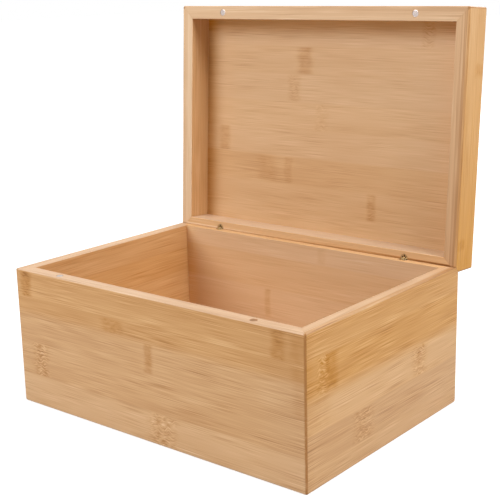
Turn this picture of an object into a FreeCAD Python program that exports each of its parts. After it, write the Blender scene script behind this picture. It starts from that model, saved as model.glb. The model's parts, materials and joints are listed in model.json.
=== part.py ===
"""Bamboo box with a hinged lid, standing open.

Millimetres. +X runs along the front to the right, +Y to the rear, +Z up, and the
origin is the centre of the underside. Box and lid are built alike: each half is
made with its rim at z = 0 and its body below. The lid half is then mirrored onto
the box and swung open on the hinges.
"""
import FreeCAD, Part
import math
import os

from FreeCAD import Vector

# Walls and panels
box_width = 255.0
box_depth = 180.0
box_height = 100.0
lid_height = 24.0
wall = 10.0
bottom_thick = 5.0
top_thick = 4.0
rebate_width = 5.0       # ledge in the walls that carries a panel
panel_clearance = 0.1    # between a panel's edge and its rebate
corner_round = 1.5       # upright corners, and the edges of the underside and the lid's top
edge_round = 0.8         # outer edge of each rim
rim_round = 0.4          # inner edge of each rim

# Opening of the lid, and the bevels that stop it
open_angle = 93.5
bevel_gap = 0.2          # between the two bevels with the lid open

# Magnets in both front rims
magnet_inset = 41.5      # from the side face to the magnet's centre
magnet_diameter = 5.0
magnet_thick = 2.0
magnet_round = 0.3
magnet_sink = 0.1        # below the rim
glue_gap = 0.05          # around a magnet or barrel in its bore

# Barrel hinges in both rear rims
hinge_inset = 41.5       # from the side face to the hinge's centre
barrel_diameter = 6.0
barrel_length = 10.0
barrel_sink = 0.1        # below the rim and below the bevel
barrel_chamfer = 0.4
pin_setback = 2.0        # pin's centre below the rim
pin_diameter = 1.2
pin_end_inset = 0.2      # pin's end inside the barrel's side
pin_clearance = 0.03
centre_link_thick = 0.9
centre_link_round = 1.4  # radius of the link's ends
side_link_thick = 0.8
side_link_round = 1.2
slot_clearance = 0.08    # around a link in its slot
slot_web = 0.4           # barrel metal between two slots
centre_slot_reach = 2.3  # from the hinge line to the front end of the centre slot

overrun = 5.0            # how far a cutting solid passes what it cuts

half_angle = math.radians(open_angle / 2)
hinge_y = box_depth / 2 - wall / 2
rim_mid_y = -hinge_y
X_AXIS = Vector(1, 0, 0)
Z_AXIS = Vector(0, 0, 1)
SIDES = {"left": -1, "right": 1}


def block(width, depth, low, high):
    """Upright block, centred on the Z axis, between two heights."""
    return Part.makeBox(width, depth, high - low, Vector(-width / 2, -depth / 2, low))


def prism(points, direction):
    """Solid swept from a closed polygon along a direction."""
    return Part.Face(Part.makePolygon(points + points[:1])).extrude(direction)


def rear_edge_cut(sink):
    """What is taken off behind the hinge line, which lies at y = 0, z = 0.

    The rim rolls over in an arc as large as the pin's setback, so that box and lid
    roll on each other as the links swing, and runs on as a straight bevel. The bevel
    is parallel to the plane halfway between the two open rims, so the bevels of box
    and lid meet face to face and stop the lid.
    """
    radius = pin_setback - sink
    arc_y = -bevel_gap / 2 / math.sin(half_angle)
    rear = wall / 2 + overrun
    width = box_width + 2 * overrun

    def on_arc(angle):
        return Vector(-width / 2, arc_y + radius * math.sin(angle),
                      radius * math.cos(angle) - pin_setback)

    start = on_arc(0)
    end = on_arc(half_angle)
    drop = (rear - end.y) * math.tan(half_angle)
    corners = [end, Vector(end.x, rear, end.z - drop), Vector(end.x, rear, overrun),
               Vector(end.x, start.y, overrun), start]
    arc = Part.Arc(start, on_arc(half_angle / 2), end).toShape()
    outline = Part.Wire([arc] + Part.makePolygon(corners).Edges)
    return Part.Face(outline).extrude(X_AXIS * width)


def bore(diameter, depth):
    """Blind bore down from the rim at the origin."""
    return Part.makeCylinder(diameter / 2, depth + overrun, Vector(0, 0, -depth))


def placed(shape, x=0, y=0, z=0):
    copy = shape.copy()
    copy.translate(Vector(x, y, z))
    return copy


def at_inset(side, inset):
    """X of a fitting that stands in from the left or right side face."""
    return SIDES[side] * (box_width / 2 - inset)


def make_frame(height, panel_thick):
    """The four walls of one half as a single ring, with every cut made."""
    ring = block(box_width, box_depth, -height, 0)

    def at_rim(edge):
        return edge.BoundBox.ZMin > -edge_round / 2

    ring = ring.makeFillet(corner_round, [edge for edge in ring.Edges if not at_rim(edge)])
    ring = ring.makeFillet(edge_round, [edge for edge in ring.Edges if at_rim(edge)])
    inner_width = box_width - 2 * wall
    inner_depth = box_depth - 2 * wall
    ring = ring.cut(block(inner_width, inner_depth, -height - overrun, overrun))

    def on_inner_rim(edge):
        limits = edge.BoundBox
        inside = limits.XMax < box_width / 2 - wall / 2 and limits.YMax < hinge_y
        inside = inside and limits.XMin > wall / 2 - box_width / 2 and limits.YMin > -hinge_y
        return inside and abs(limits.ZMin) < rim_round / 2

    ring = ring.makeFillet(rim_round, [edge for edge in ring.Edges if on_inner_rim(edge)])
    rebate = block(inner_width + 2 * rebate_width, inner_depth + 2 * rebate_width,
                   -height - overrun, panel_thick - height)
    ring = ring.cut(rebate)
    ring = ring.cut(placed(rear_edge_cut(0), y=hinge_y))
    for side in SIDES:
        barrel_bore = bore(barrel_diameter + 2 * glue_gap, barrel_sink + barrel_length)
        magnet_bore = bore(magnet_diameter + 2 * glue_gap, magnet_sink + magnet_thick)
        ring = ring.cut(placed(barrel_bore, at_inset(side, hinge_inset), hinge_y))
        ring = ring.cut(placed(magnet_bore, at_inset(side, magnet_inset), rim_mid_y))
    return ring


def split_at_mitres(ring, height):
    """Front, back, left and right walls of a ring, parted at 45 degrees."""
    reach = wall + overrun
    outer_x = box_width / 2 + overrun
    outer_y = box_depth / 2 + overrun
    inner_x = box_width / 2 - reach
    inner_y = box_depth / 2 - reach
    low = -height - overrun
    rise = Z_AXIS * (height + 2 * overrun)

    def wall_at(corners):
        return ring.common(prism([Vector(x, y, low) for x, y in corners], rise)).Solids[0]

    def across(sign):
        return [(-outer_x, sign * outer_y), (outer_x, sign * outer_y),
                (inner_x, sign * inner_y), (-inner_x, sign * inner_y)]

    def along(sign):
        return [(sign * outer_x, -outer_y), (sign * outer_x, outer_y),
                (sign * inner_x, inner_y), (sign * inner_x, -inner_y)]

    return {"front": wall_at(across(-1)), "back": wall_at(across(1)),
            "left": wall_at(along(-1)), "right": wall_at(along(1))}


def make_panel(height, thick):
    """Panel that lies on the rebate, flush with the outer face."""
    shrink = 2 * (wall - rebate_width + panel_clearance)
    return block(box_width - shrink, box_depth - shrink, -height, thick - height)


def make_magnet():
    """Disc with both rims rounded."""
    disc = Part.makeCylinder(magnet_diameter / 2, magnet_thick,
                             Vector(0, 0, -magnet_sink - magnet_thick))
    rims = [edge for edge in disc.Edges if edge.BoundBox.ZLength < magnet_round]
    return disc.makeFillet(magnet_round, rims)


def swing_slot(thick, round_radius, front_reach):
    """Room for one link in a barrel, from upright to leaning back by half the opening."""
    radius = round_radius + slot_clearance
    width = thick + 2 * slot_clearance
    along_link = Vector(0, math.sin(half_angle), math.cos(half_angle))
    across_link = Vector(0, math.cos(half_angle), -math.sin(half_angle))
    pin = Vector(-width / 2, 0, -pin_setback)
    heel = pin + across_link * radius
    tip = heel + along_link * (2 * pin_setback + overrun)
    front = Vector(-width / 2, -front_reach, 0)
    corners = [Vector(front.x, front.y, pin.z), Vector(front.x, front.y, tip.z), tip, heel, pin]
    return prism(corners, X_AXIS * width).fuse(Part.makeCylinder(radius, width, pin, X_AXIS))


def link_places():
    """Distance of each link from the hinge's centre, with its thickness and end radius."""
    side_step = centre_link_thick / 2 + side_link_thick / 2 + 2 * slot_clearance + slot_web
    centre = (0, centre_link_thick, centre_link_round)
    return {"outer": (side_step, side_link_thick, side_link_round), "centre": centre,
            "inner": (-side_step, side_link_thick, side_link_round)}


def make_barrel():
    """Barrel with its face just below the rim, beveled and slotted for the links."""
    radius = barrel_diameter / 2
    foot = Vector(0, 0, -barrel_sink - barrel_length)
    barrel = Part.makeCylinder(radius, barrel_length, foot)
    foot_edges = [edge for edge in barrel.Edges if edge.BoundBox.ZMax < foot.z + barrel_chamfer]
    barrel = barrel.makeChamfer(barrel_chamfer, foot_edges)
    barrel = barrel.cut(rear_edge_cut(barrel_sink))
    for step, thick, round_radius in link_places().values():
        centre_slot = step == 0
        reach = centre_slot_reach if centre_slot else round_radius + slot_clearance
        barrel = barrel.cut(placed(swing_slot(thick, round_radius, reach), step))
    pin_hole = Part.makeCylinder(pin_diameter / 2 + pin_clearance, barrel_diameter,
                                 Vector(-radius, 0, -pin_setback), X_AXIS)
    return barrel.cut(pin_hole)


def make_pin():
    length = barrel_diameter - 2 * pin_end_inset
    return Part.makeCylinder(pin_diameter / 2, length,
                             Vector(-length / 2, 0, -pin_setback), X_AXIS)


def make_link(thick, round_radius):
    """Flat link with round ends, upright between the two pins of a closed hinge."""
    low = Vector(-thick / 2, 0, -pin_setback)
    high = Vector(-thick / 2, 0, pin_setback)
    link = Part.makeBox(thick, 2 * round_radius, 2 * pin_setback,
                        Vector(low.x, -round_radius, low.z))
    for end in (low, high):
        link = link.fuse(Part.makeCylinder(round_radius, thick, end, X_AXIS))
    link = link.removeSplitter()
    for end in (low, high):
        hole = Part.makeCylinder(pin_diameter / 2 + pin_clearance, thick, end, X_AXIS)
        link = link.cut(hole)
    return link


def make_half(half, wall_word, height, panel_name, panel_thick):
    """Every piece of one half, with its rim at z = 0 and its body below."""
    pieces = {}
    walls = split_at_mitres(make_frame(height, panel_thick), height)
    for side, solid in walls.items():
        pieces[f"{half}_{side}_{wall_word}"] = solid
    pieces[panel_name] = make_panel(height, panel_thick)
    for side in SIDES:
        hinge_x = at_inset(side, hinge_inset)
        magnet_x = at_inset(side, magnet_inset)
        pieces[f"{half}_magnet_{side}"] = placed(make_magnet(), magnet_x, rim_mid_y)
        pieces[f"{side}_hinge_{half}_barrel"] = placed(make_barrel(), hinge_x, hinge_y)
        pieces[f"{side}_hinge_{half}_pin"] = placed(make_pin(), hinge_x, hinge_y)
    return pieces


def make_links():
    """The link plates of both hinges, upright as with the lid closed."""
    links = {}
    for side, sign in SIDES.items():
        for name, (step, thick, round_radius) in link_places().items():
            x = at_inset(side, hinge_inset) + sign * step
            links[f"{side}_hinge_{name}_link"] = placed(make_link(thick, round_radius), x, hinge_y)
    return links


def swung_open(shape, pin_z):
    """The shape turned back by half the opening about a pin line."""
    copy = shape.copy()
    copy.rotate(Vector(0, hinge_y, pin_z), X_AXIS, -open_angle / 2)
    return copy


def build():
    pieces = {}
    for name, solid in make_half("box", "wall", box_height, "bottom_panel", bottom_thick).items():
        pieces[name] = placed(solid, z=box_height)
    for name, solid in make_links().items():
        pieces[name] = placed(swung_open(solid, -pin_setback), z=box_height)
    for name, solid in make_half("lid", "rail", lid_height, "lid_top_panel", top_thick).items():
        closed = solid.mirror(Vector(0, 0, 0), Z_AXIS)
        half_way = swung_open(closed, pin_setback)
        pieces[name] = placed(swung_open(half_way, -pin_setback), z=box_height)
    return pieces


os.makedirs("parts", exist_ok=True)
for name, solid in build().items():
    solid.exportStep(f"parts/{name}.step")
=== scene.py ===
"""Looks of the bamboo box: lacquered bamboo boards, nickel magnets, brass hinges, studio and camera.

Lengths inside the bamboo are millimetres on the board: u runs along the grain, v across the
strips, and w through the board, zero on its main face and negative below it. A tone is a step on
the ramp from scorched to pale bamboo, and warmth is a change of the colour's saturation.
"""
import json
import math
import random
from collections import namedtuple

import bpy
from mathutils import Matrix, Vector

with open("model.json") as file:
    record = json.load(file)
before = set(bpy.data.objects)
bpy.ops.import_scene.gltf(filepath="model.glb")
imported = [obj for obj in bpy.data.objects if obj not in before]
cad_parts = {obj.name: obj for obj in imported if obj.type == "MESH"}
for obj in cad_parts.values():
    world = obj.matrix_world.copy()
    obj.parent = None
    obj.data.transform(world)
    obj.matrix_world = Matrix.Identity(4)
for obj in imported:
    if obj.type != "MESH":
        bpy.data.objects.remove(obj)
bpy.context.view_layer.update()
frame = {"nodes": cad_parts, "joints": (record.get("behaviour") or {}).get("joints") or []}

MM = 0.001

# Camera, set to the photograph's view
FOCAL_LENGTH = 78.1
SENSOR_WIDTH = 36.0
CAMERA_AIM = Vector((7.31, 9.17, 111.70)) * MM
CAMERA_DISTANCE = 760.09 * MM
CAMERA_AZIMUTH = 39.299
CAMERA_ELEVATION = 14.272
CAMERA_ROLL = -1.309

# Studio, in metres and watts
FLOOR_SIZE = 12.0
FLOOR_COLOUR = (0.60, 0.60, 0.60, 1)
FLOOR_GLOW = 0.58          # what the camera sees of the floor by the box where no light falls
GLOW_NEAR = 0.5            # from this distance on the glow rises
GLOW_FAR = 1.4             # and from here on the floor is plain white
WORLD_COLOUR = (1, 1, 1, 1)
WORLD_STRENGTH = 0.1
Lamp = namedtuple("Lamp", "name azimuth elevation distance size power")
LAMPS = (Lamp("front_left", -29, 32, 1.9, 1.3, 27.0), Lamp("side", 86, 45, 1.9, 1.0, 23.2),
         Lamp("high_side", 100, 65, 1.9, 1.0, 12.2), Lamp("behind", 190, 35, 1.9, 1.0, 16.8))

# Bamboo, from scorched through plain to pale
BAMBOO_TONES = ((0.0, (0.23, 0.084, 0.019, 1)), (0.3, (0.482, 0.235, 0.076, 1)),
                (0.5, (0.62, 0.350, 0.150, 1)), (0.7, (0.715, 0.444, 0.222, 1)),
                (1.0, (0.86, 0.64, 0.42, 1)))
NEUTRAL = 0.5              # what a ramp holds where tone or warmth doesn't change
SLOPE_LENGTH = 100.0       # length over which a board's slope of tone is given
SLOPE_WARMTH = -1.4        # a board that darkens along its length turns warmer too

# Grain: bumps of noise by length and breadth, and what each kind adds to the tone
Grain = namedtuple("Grain", "length breadth detail roughness", defaults=(0.5,))
CLOUD = Grain(190, 26, 2.0, 0.9)
STREAK = Grain(55, 3.6, 2.0, 0.8)
THREAD = Grain(55, 1.1, 1.0)
HAIR = Grain(28, 0.45, 0.0)
PATCH = Grain(60, 11, 1.0)
CLOUD_WEIGHT = 0.30
STREAK_WEIGHT = 0.20
FIBRE_WEIGHT = 0.29
THREAD_SHARE = 0.7         # fibres are threads and hairs together
HAIR_SHARE = 1.3
PATCH_RANGE = (-0.2, 0.2)
PATCH_STRENGTH = (0.35, 1.5)   # of the grain, in quiet and in busy patches
SEED_SHIFT = 611.0         # moves the grain of strips with different seeds apart
SEED_STEP = 17
SECOND_SEED = 0.37         # makes the grain of a board's second face differ
FACE_SHIFT = 400.0         # moves the grain and scars along for the second face

# Scars where a node of the cane crossed a strip
STAIN_CLOUD = Grain(7, 6, 1.0)
SWAY = Grain(6, 8, 1.0)
STROKE = Grain(5.0, 1.1, 1.0)
SWAY_REACH = 6.5           # how strongly the strokes swing aside
STAIN_LEVEL = 0.85
STAIN_UNEVENNESS = 1.2
DARK_STROKES = (-0.22, 0.04)   # noise that is fully dark, and that is no longer dark
PALE_STROKES = (0.0, 0.22)     # noise that is not yet pale, and that is fully pale
SCAR_CORE = 0.3            # shares of the half width where a scar is full and where it ends
SCAR_END = 1.2
SCAR_WAVE = 9.0            # length of the waves in a scar's outline
SCAR_WAVE_REACH = 0.9
SCAR_BLEND = 1.5           # length over which a scar fades at the edges of its strip
SCAR_WARMTH = 0.2          # a scar turns warmer as it darkens

# Rims, glue lines and mitres
EDGE_START = 0.15          # how far a surface leans to the edge before the edge's colour begins
EDGE_FULL = 0.55
LINE_WIDTH = 0.6
LINE_CLOUD = (-0.05, 0.15)     # clouds between which a glue line comes up
SEAM_COLOUR = (0.35, 0.148, 0.036, 1)
SEAM_WIDTH = 0.9
SEAM_UNEVENNESS = 1.5
SEAM_STRENGTH = (0.07, 0.9)    # of a mitre line on the rim, and at the outer corner
CORNER_DEPTH = 1.0         # how far in from the outer face a mitre shows as a dark line
MITRE_SLANT = math.sqrt(0.5)
CORNER_INSET = 10          # a wall's thickness: inside corners lie so far from a board's end
PANEL_INSET = 5            # width of the rebate that hides the lid panel's edge

# Lacquer
LACQUER_GLOSS = 0.28
LACQUER_ROUGHNESS = 0.42
STREAK_ROUGHNESS = 0.25
EDGE_ROUGHNESS = 0.15
RELIEF_STRENGTH = 0.25
RELIEF_HEIGHT = 0.1 * MM
STREAK_RELIEF = 0.4        # what the streaks add to the relief of the fibres

# Nickel magnets and brass hinges, with scratches and tarnish in bumps to the metre
Metal = namedtuple("Metal", "name colour roughness wear relief")
MAGNET_METAL = Metal("nickel_magnet", (0.64, 0.55, 0.51, 1), 0.12, 0.2, 0.02)
HINGE_METAL = Metal("brass_hinge", (0.52, 0.36, 0.18, 1), 0.38, 0.9, 0.15)
SCRATCHES = (600, 6000, 2500)
SCRATCH_ROUGHNESS = 0.25
SCRATCH_HEIGHT = 0.02 * MM
TARNISH = (900, 900, 900)
TARNISH_DETAIL = 3.0
TARNISH_DARK = 0.6         # shares of the metal's colour
TARNISH_BRIGHT = 1.25

# A strip ends at its top, with a glue line there, and its tone blends into the next one's
Strip = namedtuple("Strip", "top tone warmth line blend", defaults=(0.06, 0.5))
# A scar lies on one strip, counted from below; a stain laid the same way also paints shade
Mark = namedtuple("Mark", "along strip width stain lines flecks")
# A layer that shows on the rim, from a share of the board's thickness on; a band laid the same way also
# paints shade
Ply = namedtuple("Ply", "start tone warmth", defaults=(0.0,))
# The rim of a board, where fade strengthens the plies along the board
Edge = namedtuple("Edge", "tone warmth plies fade", defaults=(0.0,))
# Painted shade and light near one end of the main face, second face or rim: a change of tone and warmth
# that fades out over its reach
Nook = namedtuple("Nook", "end inset side tone warmth reach", defaults=(14.0,))
Look = namedtuple("Look", "strips marks edge second_marks grain slope second_tone second_warmth nooks",
                  defaults=((), 1.0, 0.0, 0.0, 0.0, ()))
Board = namedtuple("Board", "node along across look mitred")

# Strips and scars, placed after the photograph where it shows them
FRONT_STRIPS = (Strip(23, 0.03, -0.06), Strip(48, -0.04, -0.04), Strip(69.5, -0.04, -0.04, 0.06, 3),
                Strip(80.5, -0.08, 0.02), Strip(100, -0.06, 0.02))
# The first three marks are painted shade, not scars: stains that darken the upper strips of the front face
# at its right end, by the corner.
FRONT_MARKS = (Mark(122, 4, 18, 0.10, 0.0, 0.0), Mark(123, 3, 16, 0.07, 0.0, 0.0),
               Mark(124, 2, 14, 0.05, 0.0, 0.0), Mark(-117, 4, 13, 0.17, 0.14, 0.04),
               Mark(108, 4, 13, 0.14, 0.06, 0.02), Mark(-32, 3, 24, 0.10, 0.06, 0.05),
               Mark(1, 2, 9, 0.14, 0.08, 0.02), Mark(-106, 1, 18, 0.06, 0.19, 0.26),
               Mark(12, 0, 29, 0.07, 0.19, 0.26))
RIGHT_STRIPS = (Strip(14, 0.02, -0.02), Strip(36, -0.04, -0.03, 0.3),
                Strip(58, 0.055, 0.01, 0.06, 4), Strip(83, -0.05, 0.13, 0.06, 2),
                Strip(100, -0.05, 0.10))
RIGHT_MARKS = (Mark(-73, 3, 14, 0.03, 0.15, 0.26), Mark(-64, 3, 15, 0.13, 0.03, 0.0),
               Mark(38, 2, 21, 0.08, 0.19, 0.21), Mark(-29, 1, 26, 0.07, 0.13, 0.20),
               Mark(-84, 2, 44, 0.10, 0.0, 0.0))
BACK_STRIPS = (Strip(12, 0.0, 0.03), Strip(36, 0.02, -0.02), Strip(60, 0.0, 0.0),
               Strip(86, -0.01, 0.03), Strip(100, 0.02, -0.02))
BACK_MARKS = (Mark(70, 1, 12, 0.12, 0.08, 0.05), Mark(-58, 2, 10, 0.15, 0.08, 0.03),
              Mark(-104, 3, 13, 0.12, 0.12, 0.1), Mark(12, 3, 9, 0.1, 0.06, 0.0))
BACK_INNER_MARKS = (Mark(34, 2, 7, 0.11, 0.05, 0.0), Mark(-18, 4, 9, 0.06, 0.04, 0.0))
LEFT_STRIPS = (Strip(19, 0.02, -0.02), Strip(41, -0.02, 0.01), Strip(63, 0.01, 0.01),
               Strip(82, -0.02, 0.03), Strip(100, 0.02, 0.0))
LEFT_MARKS = (Mark(55, 1, 12, 0.14, 0.09, 0.04), Mark(-20, 2, 14, 0.1, 0.1, 0.1),
              Mark(-64, 4, 9, 0.12, 0.05, 0.0))
PANEL_STRIPS = (Strip(17.7, 0.07, -0.06), Strip(39.0, 0.05, -0.05), Strip(60.3, 0.01, -0.04),
                Strip(81.6, 0.07, -0.08), Strip(102.9, 0.06, -0.07), Strip(124.2, 0.05, -0.09),
                Strip(145.5, 0.05, -0.08), Strip(166.8, 0.07, -0.09), Strip(180, 0.06, -0.07))
PANEL_MARKS = (Mark(44, 1, 9, 0.14, 0.08, 0.04), Mark(-55, 2, 22, 0.07, 0.02, 0.0),
               Mark(-34, 2, 9, 0.07, 0.04, 0.0), Mark(-99, 3, 13, 0.15, 0.04, 0.0),
               Mark(-4, 4, 14, 0.04, 0.06, 0.09), Mark(-30, 5, 14, 0.07, 0.10, 0.06),
               Mark(-20, 6, 16, 0.15, 0.04, 0.0), Mark(86, 7, 12, 0.06, 0.12, 0.06))
PANEL_OUTER_MARKS = (Mark(-70, 1, 11, 0.14, 0.08, 0.04), Mark(20, 2, 14, 0.12, 0.1, 0.08),
                     Mark(-15, 4, 9, 0.16, 0.08, 0.0), Mark(88, 5, 12, 0.12, 0.1, 0.05),
                     Mark(-96, 6, 13, 0.1, 0.1, 0.08), Mark(40, 7, 10, 0.14, 0.06, 0.0))
RAIL_STRIPS = (Strip(11, 0.01, 0.08), Strip(30, -0.01, 0.1))
RIGHT_RAIL_STRIPS = (Strip(11, 0.02, 0.13), Strip(30, 0.0, 0.14))
RAIL_MARKS = (Mark(-48, 1, 10, 0.1, 0.06, 0.02), Mark(71, 0, 9, 0.08, 0.05, 0.0))

# Plies of the rims, from the main face in
PLAIN_PLIES = (Ply(0.0, -0.02), Ply(0.34, 0.03), Ply(0.68, 0.0))
DARK_OUTER_PLY = (Ply(0.0, -0.05, 0.10), Ply(0.18, -0.15, 0.03), Ply(0.36, -0.04), Ply(0.6, 0.06),
                  Ply(0.8, 0.02))
PALE_INNER_PLY = (Ply(0.0, -0.04, 0.08), Ply(0.36, 0.11))
TOP_PLIES = (Ply(0.0, -0.06), Ply(0.34, -0.01), Ply(0.68, 0.03))
# Painted shade and light, no real ply: a band of the lid's back rim where it meets the box's rim, which
# the back rail's fade turns into a dark line towards the right end and a lighter one towards the left end
PAINTED_HINGE_SHADE = (Ply(0.0, 0.0), Ply(0.40, -0.02), Ply(0.545, 0.0))
PANEL_EDGE = Edge(0.0, 0.0, PLAIN_PLIES)

# The walls' painted shade and light: the front face darkens towards its right corner and the right face
# beside that corner; the right rim darkens and warms towards its rear end, and the left rim warms towards
# its rear end; the back wall's inner face is painted lighter and warmer by its left inside corner, lifting
# the corner's shade.
WALL_LOOKS = {
    "front": Look(FRONT_STRIPS, FRONT_MARKS, Edge(0.08, -0.23, PLAIN_PLIES), grain=1.1,
                  nooks=(Nook("high", 0, "main", -0.04, -0.03, 50),)),
    "right": Look(RIGHT_STRIPS, RIGHT_MARKS, Edge(-0.03, -0.20, PALE_INNER_PLY), grain=1.25,
                  nooks=(Nook("low", 0, "main", -0.06, 0.0, 10),
                         Nook("high", CORNER_INSET, "rim", -0.07, 0.05, 30))),
    "back": Look(BACK_STRIPS, BACK_MARKS, Edge(-0.07, -0.01, PLAIN_PLIES), BACK_INNER_MARKS,
                 grain=0.6, second_tone=0.15, second_warmth=-0.10,
                 nooks=(Nook("high", CORNER_INSET, "second", 0.17, 0.20),)),
    "left": Look(LEFT_STRIPS, LEFT_MARKS, Edge(-0.03, -0.21, PLAIN_PLIES), grain=0.9,
                 second_tone=0.01, second_warmth=0.01,
                 nooks=(Nook("low", CORNER_INSET, "rim", 0.0, 0.05, 80),))}
RAIL_LOOKS = {
    "front": Look(RAIL_STRIPS, RAIL_MARKS, Edge(0.09, -0.14, TOP_PLIES, 1.0), slope=-0.05),
    # The right rail's slope is painted light: lighter towards the top of the open lid, darker and warmer
    # towards the hinge.
    "right": Look(RIGHT_RAIL_STRIPS, RAIL_MARKS, Edge(-0.08, -0.12, DARK_OUTER_PLY), slope=-0.08),
    # The back rail's rim carries the painted hinge shade; its inner face is painted lighter and warmer
    # towards the right inside corner, lifting that corner's shade.
    "back": Look(RAIL_STRIPS, RAIL_MARKS, Edge(0.03, -0.02, PAINTED_HINGE_SHADE, -19.0),
                 second_tone=0.11, second_warmth=-0.34,
                 nooks=(Nook("low", CORNER_INSET, "second", 0.36, 0.20, 40),)),
    "left": Look(RAIL_STRIPS, RAIL_MARKS, Edge(0.11, -0.13, PLAIN_PLIES),
                 second_tone=0.12, second_warmth=-0.08)}
# Painted shadows on the lid panel: darker and warmer along the left rail, and under the top rail warmer, a
# little lighter at the rail and darkest about 6 mm below it, fading out by 16 mm, which widens the rail's
# shadow.
PANEL_PAINTED_SHADOWS = (Nook("low", PANEL_INSET, "main", -0.03, 0.15), Nook("top", PANEL_INSET, "main", 0.01, 0.19),
               Nook("top", PANEL_INSET, "main", 0.14, 0.0, 6), Nook("top", 11, "main", -0.10, 0.0, 10))
LID_PANEL_LOOK = Look(PANEL_STRIPS, PANEL_MARKS, PANEL_EDGE, PANEL_OUTER_MARKS, grain=0.8,
                      second_warmth=0.05, nooks=PANEL_PAINTED_SHADOWS)
BOTTOM_LOOK = Look(PANEL_STRIPS, PANEL_OUTER_MARKS, PANEL_EDGE, PANEL_MARKS, grain=0.8,
                   second_warmth=0.05)


class Nodes:
    """The nodes of one material or group, with short ways to add and join them."""

    def __init__(self, tree):
        self.tree = tree

    def add(self, kind, inputs=None, **settings):
        node = self.tree.nodes.new("ShaderNode" + kind)
        for name, value in settings.items():
            setattr(node, name, value)
        for socket, value in (inputs or {}).items():
            self.put(node.inputs[socket], value)
        return node

    def put(self, socket, value):
        if isinstance(value, bpy.types.NodeSocket):
            self.tree.links.new(value, socket)
        else:
            socket.default_value = value

    def math(self, operation, *values):
        node = self.add("Math", operation=operation)
        for socket, value in zip(node.inputs, values):
            self.put(socket, value)
        return node.outputs[0]

    def total(self, *values):
        result = values[0]
        for value in values[1:]:
            result = self.math("ADD", result, value)
        return result

    def times(self, *values):
        result = values[0]
        for value in values[1:]:
            result = self.math("MULTIPLY", result, value)
        return result

    def remap(self, value, low, high, to_low=0.0, to_high=1.0):
        """Smooth step from one range to another, held at both ends."""
        node = self.add("MapRange", interpolation_type="SMOOTHSTEP")
        for socket, entry in zip(node.inputs, (value, low, high, to_low, to_high)):
            self.put(socket, entry)
        return node.outputs[0]

    def split(self, vector):
        return self.add("SeparateXYZ", {0: vector}).outputs

    def joined(self, x, y, z):
        return self.add("CombineXYZ", {0: x, 1: y, 2: z}).outputs[0]

    def scaled(self, vector, x, y, z):
        node = self.add("VectorMath", operation="MULTIPLY")
        self.put(node.inputs[0], vector)
        node.inputs[1].default_value = (x, y, z)
        return node.outputs[0]

    def noise(self, vector, detail=2.0, roughness=0.5):
        """Noise about zero, one unit of the vector to a bump."""
        node = self.add("TexNoise", {"Vector": vector, "Scale": 1.0, "Detail": detail,
                                     "Roughness": roughness})
        return self.math("SUBTRACT", node.outputs[0], 0.5)

    def grain(self, place, grain):
        """Noise about zero in bumps as long and broad as the grain says."""
        stretched = self.scaled(place, 1 / grain.length, 1 / grain.breadth, 1 / grain.breadth)
        return self.noise(stretched, grain.detail, grain.roughness)

    def ramp(self, value, stops, interpolation="LINEAR"):
        node = self.add("ValToRGB", {0: value})
        ramp = node.color_ramp
        ramp.interpolation = interpolation
        while len(ramp.elements) < len(stops):
            ramp.elements.new(1.0)
        for element, (place, colour) in zip(ramp.elements, stops):
            element.position = place
            element.color = colour
        return node.outputs[0]


def new_group(name, inputs, outputs):
    """An empty node group, with its inputs by name and a function that sets its outputs."""
    tree = bpy.data.node_groups.new(name, "ShaderNodeTree")
    for label, kind in inputs:
        tree.interface.new_socket(name=label, in_out="INPUT", socket_type="NodeSocket" + kind)
    for label in outputs:
        tree.interface.new_socket(name=label, in_out="OUTPUT", socket_type="NodeSocketFloat")
    nodes = Nodes(tree)
    source = tree.nodes.new("NodeGroupInput")
    sink = tree.nodes.new("NodeGroupOutput")

    def give(label, value):
        nodes.put(sink.inputs[label], value)

    return nodes, source.outputs, give


def new_material(name):
    """A material with its nodes and its shader."""
    material = bpy.data.materials.new(name)
    material.use_nodes = True
    return material, Nodes(material.node_tree), material.node_tree.nodes["Principled BSDF"]


def make_fibre_group():
    """Grain of one bamboo strip: clouds, streaks, fine light and dark fibres, and their relief."""
    nodes, given, give = new_group("bamboo_fibres", [("Place", "Vector"), ("Seed", "Float")],
                                   ["Cloud", "Streak", "Fibre", "Height"])
    u, v, w = nodes.split(given["Place"])
    apart = nodes.times(given["Seed"], SEED_SHIFT)
    place = nodes.joined(nodes.total(u, apart), nodes.total(v, apart), w)
    threads = nodes.times(nodes.grain(place, THREAD), THREAD_SHARE)
    hairs = nodes.times(nodes.grain(place, HAIR), HAIR_SHARE)
    busy = nodes.remap(nodes.grain(place, PATCH), *PATCH_RANGE, *PATCH_STRENGTH)
    streak = nodes.times(nodes.grain(place, STREAK), busy)
    fibre = nodes.times(nodes.total(threads, hairs), busy)
    give("Cloud", nodes.grain(place, CLOUD))
    give("Streak", streak)
    give("Fibre", fibre)
    give("Height", nodes.total(nodes.times(streak, STREAK_RELIEF), fibre))
    return nodes.tree


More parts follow.
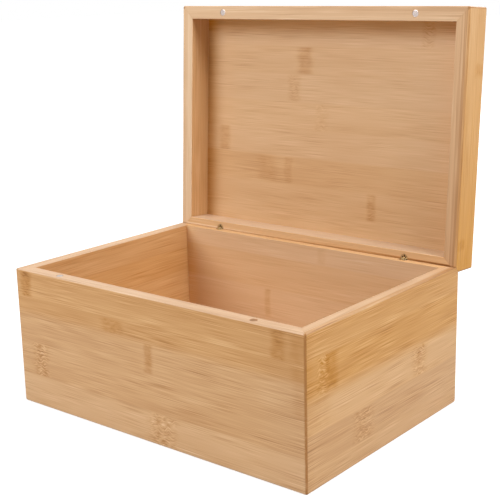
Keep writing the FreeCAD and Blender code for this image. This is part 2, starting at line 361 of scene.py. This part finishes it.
def make_mark_group():
    """Scar where a node of the cane crossed one strip: a soft stain with dark and pale flecks; a stain
    alone also serves as painted shade.
    """
    nodes, given, give = new_group(
        "bamboo_node_mark",
        [("Place", "Vector"), ("Along", "Float"), ("Low", "Float"), ("High", "Float"),
         ("Width", "Float"), ("Stain", "Float"), ("Lines", "Float"), ("Flecks", "Float")],
        ["Dark", "Pale"])
    u, v, w = nodes.split(given["Place"])
    wave = nodes.noise(nodes.joined(given["Along"], nodes.times(v, 1 / SCAR_WAVE), 0.0))
    half_width = nodes.times(given["Width"], 0.5)
    from_centre = nodes.math("DIVIDE", nodes.math("SUBTRACT", u, given["Along"]), half_width)
    across = nodes.total(from_centre, nodes.times(wave, SCAR_WAVE_REACH))
    patch = nodes.remap(nodes.math("ABSOLUTE", across), SCAR_CORE, SCAR_END, 1.0, 0.0)
    above_low = nodes.remap(nodes.math("SUBTRACT", v, given["Low"]), 0.0, SCAR_BLEND)
    below_high = nodes.remap(nodes.math("SUBTRACT", given["High"], v), 0.0, SCAR_BLEND)
    inside = nodes.times(patch, nodes.times(above_low, below_high))
    sway = nodes.times(nodes.grain(given["Place"], SWAY), SWAY_REACH)
    strokes = nodes.grain(nodes.joined(u, nodes.total(v, sway), w), STROKE)
    cloud = nodes.times(nodes.grain(given["Place"], STAIN_CLOUD), STAIN_UNEVENNESS)
    stain = nodes.times(nodes.total(cloud, STAIN_LEVEL), given["Stain"])
    dark = nodes.times(nodes.remap(strokes, *DARK_STROKES, 1.0, 0.0), given["Lines"])
    pale = nodes.times(nodes.remap(strokes, *PALE_STROKES), given["Flecks"])
    give("Dark", nodes.times(nodes.total(stain, dark), inside))
    give("Pale", nodes.times(pale, inside))
    return nodes.tree


def closed_to_rest():
    """Carries a point of the closed lid to where it is at rest, with the lid open."""
    matrix = Matrix.Identity(4)
    for joint in frame["joints"]:
        pivot = Vector(joint["pos_m"])
        turn = Matrix.Rotation(math.radians(joint["range_deg"][1]), 4, Vector(joint["axis"]))
        matrix = matrix @ Matrix.Translation(pivot) @ turn @ Matrix.Translation(-pivot)
    return matrix.inverted()


def list_boards():
    """Every bamboo board with its grain and strip directions at rest."""
    x = Vector((1, 0, 0))
    y = Vector((0, 1, 0))
    z = Vector((0, 0, 1))
    opened = closed_to_rest().to_3x3()
    boards = []
    for side, along in (("front", x), ("right", y), ("back", -x), ("left", -y)):
        boards.append(Board(f"box_{side}_wall", along, z, WALL_LOOKS[side], True))
        boards.append(Board(f"lid_{side}_rail", opened @ along, opened @ z, RAIL_LOOKS[side], True))
    boards.append(Board("bottom_panel", x, y, BOTTOM_LOOK, False))
    boards.append(Board("lid_top_panel", x, opened @ -y, LID_PANEL_LOOK, False))
    return boards


def board_frame(board):
    """Turn and origin that lead from rest coordinates to u, v, w, and the board's size."""
    normal = board.along.cross(board.across)
    turn = Matrix((board.along, board.across, normal))
    points = [turn @ vertex.co for vertex in frame["nodes"][board.node].data.vertices]
    low = Vector(min(values) for values in zip(*points))
    high = Vector(max(values) for values in zip(*points))
    origin = Vector(((low.x + high.x) / 2, low.y, high.z))
    return turn, origin, high - low


def board_place(nodes, board):
    """Board coordinates and the board's size, in millimetres."""
    turn, origin, size = board_frame(board)
    source = nodes.add("TexCoord").outputs["Object"]
    mapping = nodes.add("Mapping", {"Vector": source}, vector_type="POINT")
    mapping.inputs["Rotation"].default_value = turn.to_euler()
    mapping.inputs["Scale"].default_value = (1 / MM,) * 3
    mapping.inputs["Location"].default_value = -origin / MM
    return mapping.outputs[0], size / MM


def strip_values(nodes, across, strips):
    """Tone, warmth and seed of the strip at a height across the board."""
    reach = strips[-1].top
    looks = []
    seeds = []
    low = 0.0
    for index, strip in enumerate(strips):
        seed = random.Random(index * SEED_STEP + round(strip.top)).random()
        seeds.append((low / reach, (seed, 0.0, 0.0, 1)))
        shade = (NEUTRAL + strip.tone, NEUTRAL + strip.warmth, 0.0, 1)
        start = low + strips[index - 1].blend if index else low
        looks.append((start / reach, shade))
        looks.append(((strip.top - strip.blend) / reach, shade))
        low = strip.top
    height = nodes.math("DIVIDE", across, reach)
    tone, warmth, _ = nodes.add("SeparateColor", {0: nodes.ramp(height, looks)}).outputs
    seed = nodes.add("SeparateColor", {0: nodes.ramp(height, seeds, "CONSTANT")}).outputs[0]
    return tone, nodes.total(warmth, -NEUTRAL), seed


def rim_values(nodes, along, depth, size, edge):
    """Change of tone and warmth on a board's rim, ply by ply."""
    stops = [(ply.start, (NEUTRAL + ply.tone, NEUTRAL + ply.warmth, 0.0, 1)) for ply in edge.plies]
    colour = nodes.ramp(nodes.math("DIVIDE", depth, -size.z), stops, "CONSTANT")
    tone, warmth, _ = nodes.add("SeparateColor", {0: colour}).outputs
    fade = nodes.total(nodes.times(along, edge.fade / SLOPE_LENGTH), 1.0)
    tone = nodes.total(nodes.times(nodes.total(tone, -NEUTRAL), fade), edge.tone)
    return tone, nodes.total(warmth, -NEUTRAL, edge.warmth)


def rim_mask(nodes, board):
    """One on the rims of a board, zero on its faces."""
    normal = nodes.add("TexCoord").outputs["Normal"]
    facing = nodes.add("VectorMath", {0: normal}, operation="DOT_PRODUCT")
    facing.inputs[1].default_value = board.across
    return nodes.remap(nodes.math("ABSOLUTE", facing.outputs["Value"]), EDGE_START, EDGE_FULL)


def strip_lines(nodes, across, strips):
    """How dark the glue lines between strips are, zero elsewhere."""
    lines = 0.0
    for strip in strips[:-1]:
        distance = nodes.math("ABSOLUTE", nodes.math("SUBTRACT", across, strip.top))
        line = nodes.remap(distance, 0.0, LINE_WIDTH, strip.line, 0.0)
        lines = nodes.math("MAXIMUM", lines, line)
    return lines


def add_marks(nodes, group, place, look):
    """Dark and pale amounts of every scar on the board, and of the marks that paint shade."""
    dark = 0.0
    pale = 0.0
    below = [0.0] + [strip.top for strip in look.strips]
    for shift, marks in ((0.0, look.marks), (FACE_SHIFT, look.second_marks)):
        for mark in marks:
            entries = {"Place": place, "Along": mark.along + shift, "Low": below[mark.strip],
                       "High": below[mark.strip + 1], "Width": mark.width, "Stain": mark.stain,
                       "Lines": mark.lines, "Flecks": mark.flecks}
            node = nodes.add("Group", entries, node_tree=group)
            dark = nodes.total(dark, node.outputs["Dark"])
            pale = nodes.total(pale, node.outputs["Pale"])
    return dark, pale


def add_painted_shades(nodes, place, size, sides, nooks):
    """Painted shade and light: change of tone and warmth towards the ends of a board and its inside
    corners.
    """
    u, v, _ = nodes.split(place)
    tone = 0.0
    warmth = 0.0
    for shade_spot in nooks:
        if shade_spot.end == "low":
            distance = nodes.total(u, size.x / 2)
        elif shade_spot.end == "high":
            distance = nodes.math("SUBTRACT", size.x / 2, u)
        else:
            distance = nodes.math("SUBTRACT", size.y, v)
        near = nodes.remap(distance, shade_spot.inset, shade_spot.inset + shade_spot.reach, 1.0, 0.0)
        near = nodes.times(near, sides[shade_spot.side])
        tone = nodes.total(tone, nodes.times(near, shade_spot.tone))
        warmth = nodes.total(warmth, nodes.times(near, shade_spot.warmth))
    return tone, warmth


def add_seam(nodes, colour, place, size, streak):
    """Dark line where the board meets its neighbours in a mitre."""
    u, _, w = nodes.split(place)
    from_end = nodes.math("SUBTRACT", size.x / 2, nodes.math("ABSOLUTE", u))
    from_mitre = nodes.times(nodes.total(from_end, w), MITRE_SLANT)
    strength = nodes.remap(w, -2 * CORNER_DEPTH, -CORNER_DEPTH, *SEAM_STRENGTH)
    uneven = nodes.total(nodes.times(streak, SEAM_UNEVENNESS), 1.0)
    seam = nodes.times(nodes.remap(from_mitre, 0.0, SEAM_WIDTH, 1.0, 0.0), strength, uneven)
    mix = nodes.add("MixRGB", {"Fac": seam, "Color1": colour, "Color2": SEAM_COLOUR})
    return mix.outputs[0]


def add_lacquer(nodes, shader, edge, fibres):
    """Satin gloss, duller on the rims, over the relief of the grain."""
    roughness = nodes.total(nodes.times(fibres["Streak"], STREAK_ROUGHNESS),
                            nodes.times(edge, EDGE_ROUGHNESS), LACQUER_ROUGHNESS)
    nodes.put(shader.inputs["Roughness"], roughness)
    shader.inputs["Specular IOR Level"].default_value = LACQUER_GLOSS
    bump = nodes.add("Bump", {"Height": fibres["Height"], "Strength": RELIEF_STRENGTH,
                              "Distance": RELIEF_HEIGHT})
    nodes.put(shader.inputs["Normal"], bump.outputs[0])


def make_bamboo(board, fibre_group, mark_group):
    """Satin lacquered bamboo for one board."""
    material, nodes, shader = new_material("bamboo_" + board.node)
    look = board.look
    place, size = board_place(nodes, board)
    u, v, w = nodes.split(place)

    # Which part of the board a point lies on
    edge = rim_mask(nodes, board)
    on_face = nodes.math("SUBTRACT", 1.0, edge)
    second_face = nodes.math("LESS_THAN", w, -size.z / 2)
    sides = {"main": nodes.times(on_face, nodes.math("SUBTRACT", 1.0, second_face)),
             "second": nodes.times(on_face, second_face), "rim": edge}

    # Strips, grain, scars and glue lines
    shifted = nodes.joined(nodes.total(u, nodes.times(second_face, FACE_SHIFT)), v, w)
    tone, warmth, seed = strip_values(nodes, v, look.strips)
    seed = nodes.total(seed, nodes.times(second_face, SECOND_SEED))
    fibres = nodes.add("Group", {"Place": shifted, "Seed": seed}, node_tree=fibre_group).outputs
    dark, pale = add_marks(nodes, mark_group, shifted, look)
    lines = nodes.times(strip_lines(nodes, v, look.strips), nodes.remap(fibres["Cloud"], *LINE_CLOUD))
    edge_tone, edge_warmth = rim_values(nodes, u, w, size, look.edge)
    # painted shade and light towards the ends and inside corners of the board
    painted_shade_tone, painted_shade_warmth = add_painted_shades(nodes, place, size, sides, look.nooks)
    slope = nodes.times(u, look.slope / SLOPE_LENGTH)

    # Everything together as a tone on the ramp, then tinted
    shade = nodes.total(tone, slope, painted_shade_tone, nodes.times(fibres["Cloud"], CLOUD_WEIGHT),
                        nodes.times(fibres["Streak"], STREAK_WEIGHT * look.grain),
                        nodes.times(fibres["Fibre"], FIBRE_WEIGHT * look.grain),
                        nodes.times(dark, -1.0), pale, nodes.times(lines, -1.0),
                        nodes.times(edge, edge_tone), nodes.times(second_face, look.second_tone))
    face_warmth = nodes.total(warmth, nodes.times(second_face, look.second_warmth),
                              nodes.times(slope, SLOPE_WARMTH), nodes.times(dark, SCAR_WARMTH))
    saturation = nodes.total(nodes.times(face_warmth, on_face), 1.0,
                             nodes.times(edge, edge_warmth), painted_shade_warmth)
    tint = nodes.add("HueSaturation", {"Color": nodes.ramp(shade, BAMBOO_TONES),
                                       "Saturation": saturation})
    colour = tint.outputs[0]
    if board.mitred:
        colour = add_seam(nodes, colour, place, size, fibres["Streak"])
    nodes.put(shader.inputs["Base Color"], colour)
    add_lacquer(nodes, shader, edge, fibres)
    return material


def make_metal(metal):
    """Metal with fine scratches and a little tarnish."""
    material, nodes, shader = new_material(metal.name)
    source = nodes.add("TexCoord").outputs["Object"]
    scratch = nodes.noise(nodes.scaled(source, *SCRATCHES))
    tarnish = nodes.noise(nodes.scaled(source, *TARNISH), TARNISH_DETAIL)
    shade = nodes.total(nodes.times(tarnish, metal.wear), NEUTRAL)
    low = tuple(channel * TARNISH_DARK for channel in metal.colour[:3]) + (1,)
    high = tuple(min(1.0, channel * TARNISH_BRIGHT) for channel in metal.colour[:3]) + (1,)
    nodes.put(shader.inputs["Base Color"], nodes.ramp(shade, ((0.0, low), (1.0, high))))
    shader.inputs["Metallic"].default_value = 1.0
    roughness = nodes.total(nodes.times(scratch, SCRATCH_ROUGHNESS), metal.roughness)
    nodes.put(shader.inputs["Roughness"], roughness)
    bump = nodes.add("Bump", {"Height": scratch, "Strength": metal.relief,
                              "Distance": SCRATCH_HEIGHT})
    nodes.put(shader.inputs["Normal"], bump.outputs[0])
    return material


def dress(node, material):
    """Gives a node of the frame one material."""
    slots = frame["nodes"][node].data.materials
    slots.clear()
    slots.append(material)


def dress_all():
    """A material of its own for each board, and shared metals for the fittings."""
    fibre_group = make_fibre_group()
    mark_group = make_mark_group()
    for board in list_boards():
        dress(board.node, make_bamboo(board, fibre_group, mark_group))
    magnet = make_metal(MAGNET_METAL)
    hinge = make_metal(HINGE_METAL)
    for node in frame["nodes"]:
        if "magnet" in node:
            dress(node, magnet)
        elif "hinge" in node:
            dress(node, hinge)


def seen_directly(nodes):
    """One for camera, glossy and transmission rays, zero for the rays that carry light."""
    path = nodes.add("LightPath").outputs
    seen = nodes.math("MAXIMUM", path["Is Camera Ray"], path["Is Glossy Ray"])
    return nodes.math("MAXIMUM", seen, path["Is Transmission Ray"])


def make_floor():
    """White floor that still takes the box's shadow."""
    bpy.ops.mesh.primitive_plane_add(size=FLOOR_SIZE)
    floor = bpy.context.object
    floor.name = "floor"
    material, nodes, shader = new_material("white_floor")
    nodes.tree.nodes.remove(shader)
    diffuse = nodes.add("BsdfDiffuse", {"Color": FLOOR_COLOUR})
    source = nodes.add("TexCoord").outputs["Object"]
    distance = nodes.add("VectorMath", {0: source}, operation="LENGTH").outputs["Value"]
    level = nodes.remap(distance, GLOW_NEAR, GLOW_FAR, FLOOR_GLOW, 1.0)
    glow = nodes.add("Emission", {"Strength": nodes.times(seen_directly(nodes), level)})
    both = nodes.add("AddShader", {0: diffuse.outputs[0], 1: glow.outputs[0]})
    nodes.put(nodes.tree.nodes["Material Output"].inputs["Surface"], both.outputs[0])
    floor.data.materials.append(material)


def make_world():
    """White surroundings, dimmer as light than they look."""
    world = bpy.data.worlds.new("studio")
    world.use_nodes = True
    bpy.context.scene.world = world
    nodes = Nodes(world.node_tree)
    background = world.node_tree.nodes["Background"]
    background.inputs["Color"].default_value = WORLD_COLOUR
    strength = nodes.remap(seen_directly(nodes), 0.0, 1.0, WORLD_STRENGTH, 1.0)
    nodes.put(background.inputs["Strength"], strength)


def towards(azimuth, elevation):
    """Direction from the box: azimuth 0 is the front, 90 the right side."""
    turn = math.radians(azimuth)
    rise = math.radians(elevation)
    return Vector((math.sin(turn) * math.cos(rise), -math.cos(turn) * math.cos(rise), math.sin(rise)))


def make_lamps():
    """Round softboxes about the box."""
    for lamp in LAMPS:
        light = bpy.data.lights.new(lamp.name, "AREA")
        light.shape = "DISK"
        light.size = lamp.size
        light.energy = lamp.power
        place = towards(lamp.azimuth, lamp.elevation)
        holder = bpy.data.objects.new(lamp.name, light)
        holder.location = CAMERA_AIM + place * lamp.distance
        holder.rotation_euler = (-place).to_track_quat("-Z", "Y").to_euler()
        bpy.context.scene.collection.objects.link(holder)


def make_camera():
    """Camera with the photograph's view of the box."""
    back = towards(CAMERA_AZIMUTH, CAMERA_ELEVATION)
    data = bpy.data.cameras.new("camera")
    data.sensor_width = SENSOR_WIDTH
    data.lens = FOCAL_LENGTH
    camera = bpy.data.objects.new("camera", data)
    level = (-back).to_track_quat("-Z", "Y").to_matrix()
    roll = Matrix.Rotation(math.radians(CAMERA_ROLL), 3, "Z")
    place = Matrix.Translation(CAMERA_AIM + back * CAMERA_DISTANCE)
    camera.matrix_world = place @ (level @ roll).to_4x4()
    bpy.context.scene.collection.objects.link(camera)
    bpy.context.scene.camera = camera


dress_all()
make_floor()
make_world()
make_lamps()
make_camera()
bpy.context.scene.view_settings.view_transform = "Standard"
